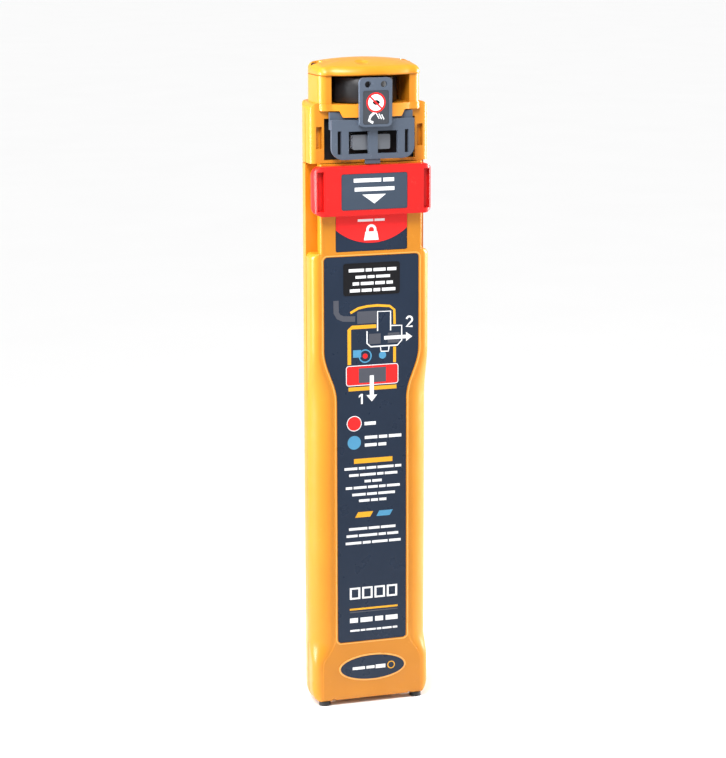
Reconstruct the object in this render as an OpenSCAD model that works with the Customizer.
// Emergency position beacon: a slim hand-held radio beacon with a sliding
// lock, a pull-off release clip and a coiled blade antenna in its head.
// Millimetres, +Z up, front towards -Y, origin under the middle of the feet.

/* [Overall] */
// Height from the feet to the crown of the cap
total_h = 201; // [200:0.5:203]
// Width of the case
case_w = 37.8; // [37.4:0.2:38.4]
// Distance of the front face from the middle plane
front_d = 10.65; // [10.5:0.05:10.8]
// Distance of the outer face of the rear plate from the middle plane
rear_d = 15; // [14.8:0.1:15.4]

/* [Case] */
// Wall thickness of the two case halves
wall = 1.8; // [1.6:0.1:2]
// Height of the step below the lock slider
step_z = 142.9; // [142.5:0.1:143]
// Top of the case, where the head begins
case_top = 169.9; // [169.7:0.1:170]
// Width of the neck that carries the lock slider
neck_w = 32.4; // [32:0.1:32.6]
// Radius of the long rounded front corners of the grip
grip_r = 5.8; // [5:0.2:6.2]

/* [Lock slider] */
// Height of the slider
slider_h = 15; // [14.5:0.1:15]
// Lower edge of the slider when it is locked
slider_z = 154.5; // [154.4:0.1:154.6]
// How far the front of the slider stands in front of the case
slider_proud = 2.95; // [2.6:0.05:3.2]

/* [Release clip] */
// Width of the clip body
clip_w = 26.2; // [25:0.1:26.6]
// Width of the release finger
finger_w = 10.2; // [9:0.1:11]
// Top of the release finger
finger_top = 195.8; // [195.4:0.1:196]

/* [Antenna] */
// Width of the antenna tape
tape_w = 7.4; // [6:0.1:7.5]
// Thickness of the antenna tape
tape_t = 0.5; // [0.3:0.05:0.6]
// Turns of tape in the coil
tape_turns = 2.6; // [2:0.1:3]

/* [Hidden] */
$fn = 64;
gap = 0.4;
eps = 0.02;
over = 1;
slit = 0.1;

// Main planes
half_w = case_w / 2;
front_y = -front_d;
part_y = -4.2;
back_y = 13.6;
base_z = 1.4;
floor_z = base_z + wall;
inner_front_y = front_y + wall;
neck_half = neck_w / 2;
neck_inner = 13.8;
corner_r = 3;
neck_corner_r = 1;
grip_low = 17;
grip_high = 100;

// Label outline
label_upper = 15.08;
label_lower = 11.08;
label_top = 141.7;
label_bottom = 20.3;
label_bend_top = 113;
label_bend_bottom = 97;
label_depth = 0.4;
panel_corner = 0.5;
print_t = 0.3;
film_t = 0.12;

// Printed fields on the front
panel_half = 11.35;
panel_low = step_z + gap;
panel_high = case_top - 2 * gap;
sky_half = 9.05;
sky_low = 129.7;
sky_high = 139.6;
sky_r = 0.8;
patch_r = 17.3;
patch_z = 163;
badge_z = 11.6;
badge_half = 10.4;
badge_tall = 3.75;
badge_t = 0.35;

// Slider and its side grooves
slider_front = front_y - slider_proud;
slider_back = front_y - 0.35;
slider_r = 2.8;
slider_edge_r = 3.3;
wing_back = -9.6;
arm_inner = neck_half + gap;
arm_outer = 17.8;
arm_back = -7;
lip_inner = 15.6;
lip_front = -8.3;
groove_inner = 15.2;
groove_front = -8.7;
grip_slot_in = 15.75;
grip_slot_out = 17.8;
grip_slot_edge = 1.5;
grip_slot_deep = 2.2;
inlay_half = 10.4;
inlay_low = 156.25;
inlay_high = 167.05;
inlay_r = 0.6;

// Buttons
button_z = 162.9;
on_x = -5.2;
on_d = 8;
test_x = 6.4;
test_d = 6;
button_face = front_y + 0.1;
flange_y = -8;
flange_t = 0.7;

// Head
head_z = 170.1;
block_top = 188;
block_half = 18.8;
pillar_y = -9;
pillar_r = 2;
post_y = -9.9;
cavity_half = 14.4;
cavity_back = -6.2;
cavity_bottom = 171;
rail_bottom = 185.85;
rail_top = 187.8;
rail_front = -13.4;
rail_half = 12.4;
reach = 20;
gasket_in = 0.6;
gasket_out = 3;
head_half = 16.07;
head_back = 11.8;
head_corner = 12;
window_top = 196.2;
window_half = 12.3;
bay_r = 12.2;
hollow_half = 13;
hollow_front = -3;
hollow_back = 9.5;
hollow_top = 186;
slot_inner = 15.1;
slot_outer = 16.9;
slot_back = -7.2;
slot_bottom = 174.5;
slot_top = 181.1;
recess_top = 183.4;
shoulder_r = 2.7;
shoulder_x = 16.2;
tongue_bottom = 183.9;
tongue_half = 9.2;
tongue_back = -10.95;
tongue_flare = 2.1;
cap_dome_r = 36;
cap_dome_steps = 10;
cap_dome_pitch = 2;
cap_screw_x = 14.1;
cap_screw_y = -0.8;
cap_screw_d = 2;
cap_screw_head = 3;
cap_screw_seat = 198.4;
cap_screw_tip = 190.4;
cap_screw_head_t = 1;
dimple_x = -2.4;
dimple_y = -8.8;
dimple_d = 5.6;
dimple_deep = 0.9;

// Strobe
lens_half = 5.9;
lens_bottom = 174;
lens_top = 178.5;
lens_wall = 1.1;
lens_front = -10.75;
lens_r = 0.5;
led_board_half = 4.2;
led_board_y = -6;
led_half = 0.9;
led_front = -7.4;
led_z = 176.25;
lens_back = -5;
bezel_half = 14.3;
bezel_front = -7.6;
bezel_top = 183.3;

// Release clip
clip_front = -12.35;
clip_back = -11.15;
clip_bottom = 171.3;
clip_bar_top = 183.2;
clip_bar_bottom = 180.2;
clip_corner = 3.6;
hook_x = 9.9;
clip_window = [1.45, 7.72, 172.9, 179.7];
clip_slot = [10.05, 11.2, 172.9, 179.9];
flange_top = 185.45;
flange_front = -10.6;
flange_back = -9.4;
finger_front = -15;
finger_back = -13.75;
finger_bottom = 181.2;
finger_r = 1.5;
finger_hole_x = 2.5;
finger_hole_z = 193.8;
finger_hole_d = 1.95;
finger_label_half = 4;
finger_label_low = 182;
finger_label_high = 191.9;
finger_label_deep = 0.2;
stub_half = 2.35;
label_r = 0.5;
hook_h = 0.6;
stub_bottom = 169.85;

// Antenna coil
coil_y = -1.3;
coil_r = 11.1;
coil_pitch = 0.95;
coil_z = 188.1;
hub_r = 5.2;
tape_start = 205;
tape_steps = 26;
clamp_r = 7.6;
clamp_z = 189.4;
clamp_h = 4.4;
clamp_open = 4.3;

// Electronics
board_back = -4;
board_front = -5;
board_half = 13.2;
board_z = 112.5;
board_top = 167;
board_hole_x = 10.6;
board_hole_z = 115;
board_hole_d = 2;
sheet_half = 12;
sheet_tall = 5;
sheet_back = inner_front_y + 0.45;
switch_half = 2.6;
switch_front = -6;
plunger_d = 2;
plunger_out = 0.3;
ceramic_half = 6;
ceramic_front = -8.2;
ceramic_low = 128.6;

// Tin cans, as [half-width, bottom, top, back]
shield_cans = [[10, 118, 136, -1.4], [8, 139, 152, -1.8]];

// Battery
cell_count = 3;
cell_d = 17;
cell_l = 33.5;
cell_y = 2.6;
cell_z = 5.2;
cell_pitch = 34.1;
cell_nub_d = 7;
cell_nub_h = 0.8;
strap_t = 0.5;
strap_half = 3;
strap_l = 5;
strap_low_y = 0.2;
tray_half = 8.9;
tray_front = -7;
tray_back = 2.2;
tray_low = 3.4;
tray_high = 108.6;
tray_end = 1;
tray_bore_h = 103.5;
tray_window_half = 7;
tray_window_back = -4;
tray_window_z = 12;
tray_window_h = 22;
screw_x = 12.6;
screw_zs = [10, 108.6];
boss_d = 5.6;
screw_d = 2.4;
screw_front = -7.8;
screw_head_d = 4.2;
screw_head_y = 6.4;
screw_head_t = 1.8;
socket_d = 1.8;
socket_deep = 1;
boss_back = 9;
seal_front = -4.88;
seal_edge = 0.95;
plate_half = 6;
plate_low = 34;
plate_high = 132;
plate_corner = 1.5;

// Feet, as [x, y]
foot_d = 3.6;
foot_spots = [[-15, -8.4], [15, -8.4], [-10.9, 6], [10.9, 6]];

// A block between two corners
module span(a, b) {
    translate(a) cube([b[0] - a[0], b[1] - a[1], b[2] - a[2]]);
}

// The same thing on the left and on the right
module both_sides() {
    children();
    mirror([1, 0, 0]) children();
}

// A cylinder whose axis runs front to back
module bar_y(x, z, d, y0, y1) {
    translate([x, y0, z]) rotate([-90, 0, 0]) cylinder(d = d, h = y1 - y0);
}

// A flat shape drawn in X and Z, given thickness from y0 back to y1
module plate_y(y0, y1) {
    translate([0, y1, 0]) rotate([90, 0, 0]) linear_extrude(y1 - y0) children();
}

// A rectangle with round corners, centred on x, from z0 up to z1
module soft_rect(x, z0, half, z1, r) {
    translate([x - half, z0 + r]) square([2 * half, z1 - z0 - 2 * r]);
    translate([x - half + r, z0]) square([2 * half - 2 * r, z1 - z0]);
    for (cx = [x - half + r, x + half - r], cz = [z0 + r, z1 - r]) {
        translate([cx, cz]) circle(r);
    }
}

// The rounded rear half of the case seen from above
module rear_section(r, flat_y) {
    intersection() {
        translate([0, part_y]) circle(r, $fn = 96);
        translate([-r - 1, part_y]) square([2 * r + 2, flat_y - part_y]);
    }
}

// What is taken off one front corner to round it
module corner_waste(half, y, r) {
    difference() {
        translate([half - r, y - 1]) square([r + 1, r + 1]);
        translate([half - r, y + r]) circle(r);
    }
}

// Outline of the long label: wide above, narrow below, with an S between
function bend(t) = (1 - cos(180 * t)) / 2;
bend_steps = 10;
function label_side(grow) = concat(
    [[label_lower + grow, label_bottom - grow]],
    [for (i = [0 : bend_steps]) [
        label_lower + (label_upper - label_lower) * bend(i / bend_steps) + grow,
        label_bend_bottom + (label_bend_top - label_bend_bottom) * i / bend_steps]],
    [[label_upper + grow, label_top + grow]]);
function mirrored(points) = [for (i = [len(points) - 1 : -1 : 0]) [-points[i][0], points[i][1]]];
function label_outline(grow) = concat(label_side(grow), mirrored(label_side(grow)));

// The four screw places, each in its own bar from y0 to y1
module screw_bars(d, y0, y1) {
    for (x = [-screw_x, screw_x], z = screw_zs) {
        bar_y(x, z, d, y0, y1);
    }
}

// Front half of the case, with the neck, the label recess and the button bores
module front_case() {
    color("orange") difference() {
        union() {
            span([-half_w, front_y, base_z], [half_w, part_y, step_z]);
            span([-neck_half, front_y, step_z - eps], [neck_half, part_y, case_top]);
        }
        difference() {
            union() {
                span([-half_w + wall, inner_front_y, floor_z],
                    [half_w - wall, part_y + over, step_z - wall]);
                span([-neck_inner, inner_front_y, floor_z], [neck_inner, part_y + over, case_top - wall]);
            }
            screw_bars(boss_d, front_y, part_y + over);
        }
        screw_bars(screw_d, screw_front - slit, part_y + over);
        both_sides() {
            linear_extrude(step_z + over) corner_waste(half_w, front_y, corner_r);
            translate([0, 0, step_z - eps]) linear_extrude(case_top)
                corner_waste(neck_half, front_y, neck_corner_r);
            translate([0, 0, grip_low]) linear_extrude(grip_high - grip_low)
                corner_waste(half_w, front_y, grip_r);
            span([groove_inner, groove_front, step_z + gap],
                [neck_half + over, part_y + over, case_top + over]);
            span([half_w - wall - eps, seal_front - eps, floor_z],
                [half_w - seal_edge + eps, part_y + over, step_z - wall]);
        }
        plate_y(front_y - over, front_y + label_depth) polygon(label_outline(slit));
        plate_y(front_y - over, front_y + label_depth)
            soft_rect(0, panel_low - slit, panel_half + slit, panel_high + slit, panel_corner);
        bar_y(on_x, button_z, on_d + gap, front_y - over, inner_front_y + over);
        bar_y(test_x, button_z, test_d + gap, front_y - over, inner_front_y + over);
    }
}

// Rear half of the case: a round-backed shell with four screw bosses
module rear_case() {
    color("orange") difference() {
        translate([0, 0, base_z]) linear_extrude(case_top - base_z) rear_section(half_w, back_y);
        difference() {
            union() {
                translate([0, 0, floor_z]) linear_extrude(step_z - wall - floor_z)
                    rear_section(half_w - wall, back_y - wall);
                translate([0, 0, floor_z]) linear_extrude(case_top - wall - floor_z) intersection() {
                    rear_section(half_w - wall, back_y - wall);
                    translate([-neck_inner, part_y]) square([2 * neck_inner, back_y - part_y]);
                }
            }
            screw_bars(boss_d, part_y, boss_back);
        }
        screw_bars(screw_d, part_y - over, screw_head_y + over);
        screw_bars(screw_head_d + gap, screw_head_y, back_y);
    }
}

// Gasket cord in the joint between the two halves
module case_seal() {
    color("dimgray") both_sides() span([half_w - wall, seal_front, floor_z + gap],
        [half_w - seal_edge, part_y, step_z - wall - gap]);
}

// Four screws that hold the case halves together
module case_screws() {
    color("silver") difference() {
        union() {
            screw_bars(screw_d, screw_front, screw_head_y + slit);
            screw_bars(screw_head_d, screw_head_y, screw_head_y + screw_head_t);
        }
        screw_bars(socket_d, screw_head_y + screw_head_t - socket_deep, back_y);
    }
}

// Flat identity plate on the back, which the beacon can lie or be stuck on
module rear_plate() {
    color("dimgray") plate_y(back_y, rear_d) soft_rect(0, plate_low, plate_half, plate_high, plate_corner);
}

// Four small rubber feet
module feet() {
    color("black") for (spot = foot_spots) {
        translate([spot[0], spot[1], 0]) cylinder(d = foot_d, h = base_z);
    }
}

// Plan of the upper head: straight sides, round rear corners
module head_plan(front) {
    difference() {
        translate([-head_half, front]) square([2 * head_half, head_back - front]);
        both_sides() {
            corner_waste(head_half, front, corner_r);
            mirror([0, 1]) corner_waste(head_half, -head_back, head_corner);
        }
    }
}

// Plan of the bowed middle of the rails in front of the antenna
rail_sag = front_y - rail_front;
rail_r = (rail_half * rail_half + rail_sag * rail_sag) / (2 * rail_sag);
module rail_plan() {
    intersection() {
        translate([0, rail_front + rail_r]) circle(rail_r, $fn = 128);
        translate([-rail_half, rail_front - over]) square([2 * rail_half, coil_y - rail_front]);
    }
}

// Head: two pillars and the clip bay below, the antenna bay above
module head_frame() {
    color("orange") difference() {
        union() {
            translate([0, 0, head_z]) linear_extrude(block_top - head_z) {
                rear_section(half_w, back_y);
                difference() {
                    translate([-block_half, pillar_y]) square([2 * block_half, part_y - pillar_y + eps]);
                    both_sides() corner_waste(block_half, pillar_y, pillar_r);
                }
            }
            translate([0, 0, rail_bottom]) linear_extrude(rail_top - rail_bottom) {
                rail_plan();
                head_plan(front_y);
            }
            intersection() {
                translate([0, 0, tongue_bottom]) linear_extrude(rail_top - tongue_bottom) rail_plan();
                plate_y(rail_front - over, tongue_back) polygon([
                    [-tongue_half, tongue_bottom], [tongue_half, tongue_bottom],
                    [tongue_half + tongue_flare, rail_top], [-tongue_half - tongue_flare, rail_top]]);
            }
            translate([0, 0, rail_bottom]) linear_extrude(window_top - rail_bottom) head_plan(post_y);
        }
        both_sides() plate_y(-reach, reach) difference() {
            translate([shoulder_x, block_top - shoulder_r]) square(shoulder_r + over);
            translate([shoulder_x, block_top - shoulder_r]) circle(shoulder_r);
        }
        span([-cavity_half, -reach, cavity_bottom], [cavity_half, cavity_back, recess_top + slit]);
        span([-reach, tongue_back, recess_top], [reach, pillar_y, rail_bottom]);
        both_sides() span([slot_inner, -reach, slot_bottom], [slot_outer, slot_back, slot_top]);
        span([-hollow_half, hollow_front, head_z - over], [hollow_half, hollow_back, hollow_top]);
        span([-lens_half - gap, cavity_back - over, lens_bottom - gap],
            [lens_half + gap, hollow_front + over, lens_top + gap]);
        span([-window_half, -reach, rail_top], [window_half, coil_y, window_top + over]);
        translate([0, coil_y, rail_top]) cylinder(r = bay_r, h = reach);
        both_sides() translate([cap_screw_x, cap_screw_y, cap_screw_tip - slit])
            cylinder(d = cap_screw_d, h = reach);
    }
}

// Side profile of the dome: an arc from front to back over a flat base
function dome_z(y) = total_h - cap_dome_r + sqrt(cap_dome_r * cap_dome_r - y * y);
dome_profile = concat([[reach, rail_top], [-reach, rail_top]],
    [for (i = [-cap_dome_steps : cap_dome_steps]) [i * cap_dome_pitch, dome_z(i * cap_dome_pitch)]]);

// Cap of the head, gently domed from front to back
module head_cap() {
    color("orange") difference() {
        intersection() {
            translate([0, 0, window_top]) linear_extrude(total_h - window_top + over) {
                head_plan(front_y);
                rail_plan();
            }
            translate([-half_w, 0, 0]) rotate([90, 0, 90]) linear_extrude(case_w) polygon(dome_profile);
        }
        both_sides() translate([cap_screw_x, cap_screw_y, 0]) {
            translate([0, 0, window_top - over]) cylinder(d = cap_screw_d + gap, h = reach);
            translate([0, 0, cap_screw_seat]) cylinder(d = cap_screw_head + gap, h = reach);
        }
        translate([dimple_x, dimple_y, dome_z(dimple_y) - dimple_deep]) cylinder(d = dimple_d, h = reach);
    }
}

// Two screws that hold the cap down
module cap_screws() {
    color("dimgray") both_sides() translate([cap_screw_x, cap_screw_y, 0]) difference() {
        union() {
            translate([0, 0, cap_screw_tip])
                cylinder(d = cap_screw_d, h = cap_screw_seat - cap_screw_tip + slit);
            translate([0, 0, cap_screw_seat]) cylinder(d = cap_screw_head, h = cap_screw_head_t);
        }
        translate([0, 0, cap_screw_seat + gap]) cylinder(d = socket_d, h = cap_screw_head_t);
    }
}

// Flat gasket between the case and the head
module head_seal() {
    color("dimgray") translate([0, 0, case_top]) linear_extrude(head_z - case_top) difference() {
        rear_section(half_w - gasket_in, back_y - gasket_in);
        rear_section(half_w - gasket_out, back_y - gasket_out);
    }
}

// Black inner plate of the clip bay that frames the strobe lens
module strobe_bezel() {
    color("black") difference() {
        span([-bezel_half, bezel_front, cavity_bottom], [bezel_half, cavity_back, bezel_top]);
        span([-lens_half - slit, bezel_front - over, lens_bottom - slit],
            [lens_half + slit, cavity_back + over, lens_top + slit]);
    }
}

// Clear strobe window, hollow behind its front
module strobe_lens() {
    color("lightgray") difference() {
        union() {
            plate_y(lens_front, bezel_front + over) soft_rect(0, lens_bottom, lens_half, lens_top, lens_r);
            span([-lens_half, bezel_front + gap, lens_bottom], [lens_half, lens_back, lens_top]);
        }
        span([-lens_half + lens_wall, lens_front + lens_wall, lens_bottom + lens_wall],
            [lens_half - lens_wall, lens_back + over, lens_top - lens_wall]);
    }
}

// Strobe diode on its little board
module strobe_led() {
    color("lightyellow") {
        span([-led_board_half, led_board_y, led_z - led_half],
            [led_board_half, lens_back - slit, led_z + led_half]);
        span([-led_half, led_front, led_z - led_half], [led_half, led_board_y, led_z + led_half]);
    }
}

// Spool that the tape is wound on
module antenna_hub() {
    color("dimgray") translate([0, coil_y, rail_top]) cylinder(r = hub_r, h = window_top - rail_top);
}

// A spiral strip seen from above, from the outer turn inwards
function spiral_r(i, side) = coil_r - coil_pitch * i / tape_steps - side * tape_t;
function spiral_at(i, side) = let (a = tape_start + 360 * i / tape_steps)
    [spiral_r(i, side) * cos(a), spiral_r(i, side) * sin(a)];
tape_last = floor(tape_turns * tape_steps);

// Spring-steel antenna tape, coiled
module antenna_coil() {
    color("black") translate([0, coil_y, coil_z]) linear_extrude(tape_w) polygon(concat(
        [for (i = [0 : tape_last]) spiral_at(i, 0)],
        [for (i = [tape_last : -1 : 0]) spiral_at(i, 1)]));
}

// Brass clamp that joins the root of the tape to the radio
module antenna_clamp() {
    color("gold") translate([0, coil_y, clamp_z]) difference() {
        cylinder(r = clamp_r, h = clamp_h);
        translate([0, 0, -over]) cylinder(r = hub_r, h = clamp_h + 2 * over);
        span([-clamp_r, -clamp_r, -over], [clamp_r, clamp_open, clamp_h + over]);
    }
}

// Plan of the slider's face: flat in front, its rounded ends wrap round the neck
module slider_plan() {
    difference() {
        translate([-half_w, slider_front]) square([case_w, wing_back - slider_front]);
        both_sides() corner_waste(half_w, slider_front, slider_edge_r);
        translate([-arm_inner, slider_back]) square([2 * arm_inner, over + wing_back - slider_back]);
    }
}

// Red lock slider: a wrapped face with two side arms that hook into the neck
module lock_slider() {
    color("red") difference() {
        union() {
            intersection() {
                translate([0, 0, slider_z - over]) linear_extrude(slider_h + 2 * over) slider_plan();
                plate_y(slider_front - over, wing_back + over)
                    soft_rect(0, slider_z, half_w, slider_z + slider_h, slider_r);
            }
            both_sides() {
                span([arm_inner, slider_back - over, slider_z + slider_r],
                    [arm_outer, arm_back, slider_z + slider_h - slider_r]);
                span([lip_inner, lip_front, slider_z + slider_r],
                    [arm_inner + eps, arm_back, slider_z + slider_h - slider_r]);
            }
        }
        both_sides() span([grip_slot_in, slider_front - over, slider_z + grip_slot_edge],
            [grip_slot_out, slider_front + grip_slot_deep, slider_z + slider_h - grip_slot_edge]);
        plate_y(slider_front - over, slider_front + print_t)
            soft_rect(0, inlay_low - slit, inlay_half + slit, inlay_high + slit, inlay_r);
    }
}

// Dark inlay on the slider
module slider_panel() {
    color("slategray") plate_y(slider_front + slit / 2, slider_front + print_t)
        soft_rect(0, inlay_low, inlay_half, inlay_high, inlay_r);
}

// Grey release clip with its finger, windows and locking stub
module release_clip() {
    color("lightslategray") difference() {
        union() {
            plate_y(clip_front, clip_back) difference() {
                translate([-clip_w / 2, clip_bottom]) square([clip_w, clip_bar_top - clip_bottom]);
                both_sides() corner_waste(clip_w / 2, clip_bottom, clip_corner);
            }
            span([-clip_w / 2, clip_back - eps, clip_bar_bottom], [clip_w / 2, flange_back, clip_bar_top]);
            both_sides() span([hook_x, flange_front, clip_bar_top - eps],
                [clip_w / 2, flange_back, flange_top]);
            span([-hook_x, flange_front, clip_bar_top - eps], [hook_x, flange_back, flange_top - hook_h]);
            plate_y(finger_front, finger_back)
                soft_rect(0, finger_bottom, finger_w / 2, finger_top, finger_r);
            span([-finger_w / 2 + gap, finger_back - eps, finger_bottom + gap],
                [finger_w / 2 - gap, clip_front + eps, clip_bar_top - gap]);
            span([-stub_half, clip_front + gap, stub_bottom], [stub_half, clip_back, clip_bottom + eps]);
        }
        both_sides() {
            for (hole = [clip_window, clip_slot]) {
                span([hole[0], finger_front - over, hole[2]], [hole[1], clip_back + over, hole[3]]);
            }
            bar_y(finger_hole_x, finger_hole_z, finger_hole_d, finger_front - over, finger_back + over);
        }
        plate_y(finger_front - over, finger_front + finger_label_deep)
            soft_rect(0, finger_label_low - slit, finger_label_half + slit,
                finger_label_high + slit, label_r);
    }
}

// Printed label in the shallow recess of the finger
module clip_label() {
    color("white") plate_y(finger_front + slit / 2, finger_front + finger_label_deep)
        soft_rect(0, finger_label_low, finger_label_half, finger_label_high, label_r);
}

// Long printed label on the front
module main_label() {
    color("darkslateblue") plate_y(front_y + label_depth - print_t, front_y + label_depth)
        polygon(label_outline(0));
}

// Black rectangle that marks where the satellite antenna looks at the sky
module sky_view_label() {
    color("black") plate_y(front_y + label_depth - print_t - film_t, front_y + label_depth - print_t)
        soft_rect(0, sky_low, sky_half, sky_high, sky_r);
}

// Dark panel of the neck, with openings for the two buttons
module lock_panel() {
    color("darkslateblue") difference() {
        plate_y(front_y + label_depth - print_t, front_y + label_depth)
            soft_rect(0, panel_low, panel_half, panel_high, panel_corner);
        bar_y(on_x, button_z, on_d + gap, front_y - over, front_y + over);
        bar_y(test_x, button_z, test_d + gap, front_y - over, front_y + over);
    }
}

// Red patch with a curved lower edge that shows while the slider is locked
module locked_patch() {
    color("red") plate_y(front_y + label_depth - print_t - film_t, front_y + label_depth - print_t)
        intersection() {
            translate([-panel_half, panel_low]) square([2 * panel_half, slider_z + slider_r - panel_low]);
            translate([0, patch_z]) circle(patch_r, $fn = 128);
        }
}

// Oval badge at the foot of the front
module base_badge() {
    color("slategray") plate_y(front_y - badge_t, front_y)
        translate([0, badge_z]) scale([badge_half, badge_tall]) circle(1, $fn = 48);
}

// A round push button with a retaining flange behind the wall
module push_button(x, d) {
    bar_y(x, button_z, d, button_face, flange_y + flange_t);
    bar_y(x, button_z, d + 4 * gap, flange_y, flange_y + flange_t);
}

// Button that switches the beacon on
module on_button() {
    color("red") push_button(on_x, on_d);
}

// Button that tests the beacon or switches it off
module test_button() {
    color("lightsteelblue") push_button(test_x, test_d);
}

// Rubber sheet that seals the two button bores
module button_seal() {
    color("dimgray") difference() {
        span([-sheet_half, inner_front_y, button_z - sheet_tall],
            [sheet_half, sheet_back, button_z + sheet_tall]);
        bar_y(on_x, button_z, on_d + gap, front_y, part_y);
        bar_y(test_x, button_z, test_d + gap, front_y, part_y);
    }
}

// Two tactile switches behind the buttons
module button_switches() {
    color("silver") for (x = [on_x, test_x]) {
        span([x - switch_half, switch_front, button_z - switch_half],
            [x + switch_half, board_front, button_z + switch_half]);
        bar_y(x, button_z, plunger_d, switch_front - plunger_out, switch_front + slit);
    }
}

// Main circuit board in the upper case
module main_board() {
    color("darkgreen") difference() {
        span([-board_half, board_front, board_z], [board_half, board_back, board_top]);
        both_sides() bar_y(board_hole_x, board_hole_z, board_hole_d, front_y, back_y);
    }
}

// Tin cans over the radio circuits on the back of the board
module radio_shield() {
    color("silver") for (can = shield_cans) {
        span([-can[0], board_back, can[1]], [can[0], can[3], can[2]]);
    }
}

// Ceramic satellite antenna on the front of the board
module satellite_antenna() {
    color("beige") span([-ceramic_half, ceramic_front, ceramic_low],
        [ceramic_half, board_front, ceramic_low + 2 * ceramic_half]);
}

// Three lithium cells in line
module battery_cells() {
    color("steelblue") for (i = [0 : cell_count - 1]) {
        translate([0, cell_y, cell_z + i * cell_pitch]) {
            cylinder(d = cell_d, h = cell_l - cell_nub_h);
            cylinder(d = cell_nub_d, h = cell_l);
        }
    }
}

// Tray that carries the cells
module battery_cradle() {
    color("gray") difference() {
        span([-tray_half, tray_front, tray_low], [tray_half, tray_back, tray_high]);
        translate([0, cell_y, tray_low + tray_end]) cylinder(d = cell_d + gap, h = tray_bore_h);
        for (i = [0 : cell_count - 1]) {
            span([-tray_window_half, tray_front - over, tray_window_z + i * cell_pitch],
                [tray_window_half, tray_window_back, tray_window_z + tray_window_h + i * cell_pitch]);
        }
    }
}

// Welded nickel straps at the ends of the cell row
module battery_straps() {
    color("silver") for (z = [cell_z - strap_t, cell_z + (cell_count - 1) * cell_pitch + cell_l]) {
        span([-strap_half, strap_low_y, z], [strap_half, strap_low_y + strap_l, z + strap_t]);
    }
}

front_case();
rear_case();
case_seal();
case_screws();
rear_plate();
feet();
head_frame();
head_cap();
cap_screws();
head_seal();
strobe_bezel();
strobe_lens();
strobe_led();
antenna_hub();
antenna_coil();
antenna_clamp();
lock_slider();
slider_panel();
release_clip();
clip_label();
main_label();
sky_view_label();
lock_panel();
locked_patch();
base_badge();
on_button();
test_button();
button_seal();
button_switches();
main_board();
radio_shield();
satellite_antenna();
battery_cells();
battery_cradle();
battery_straps();
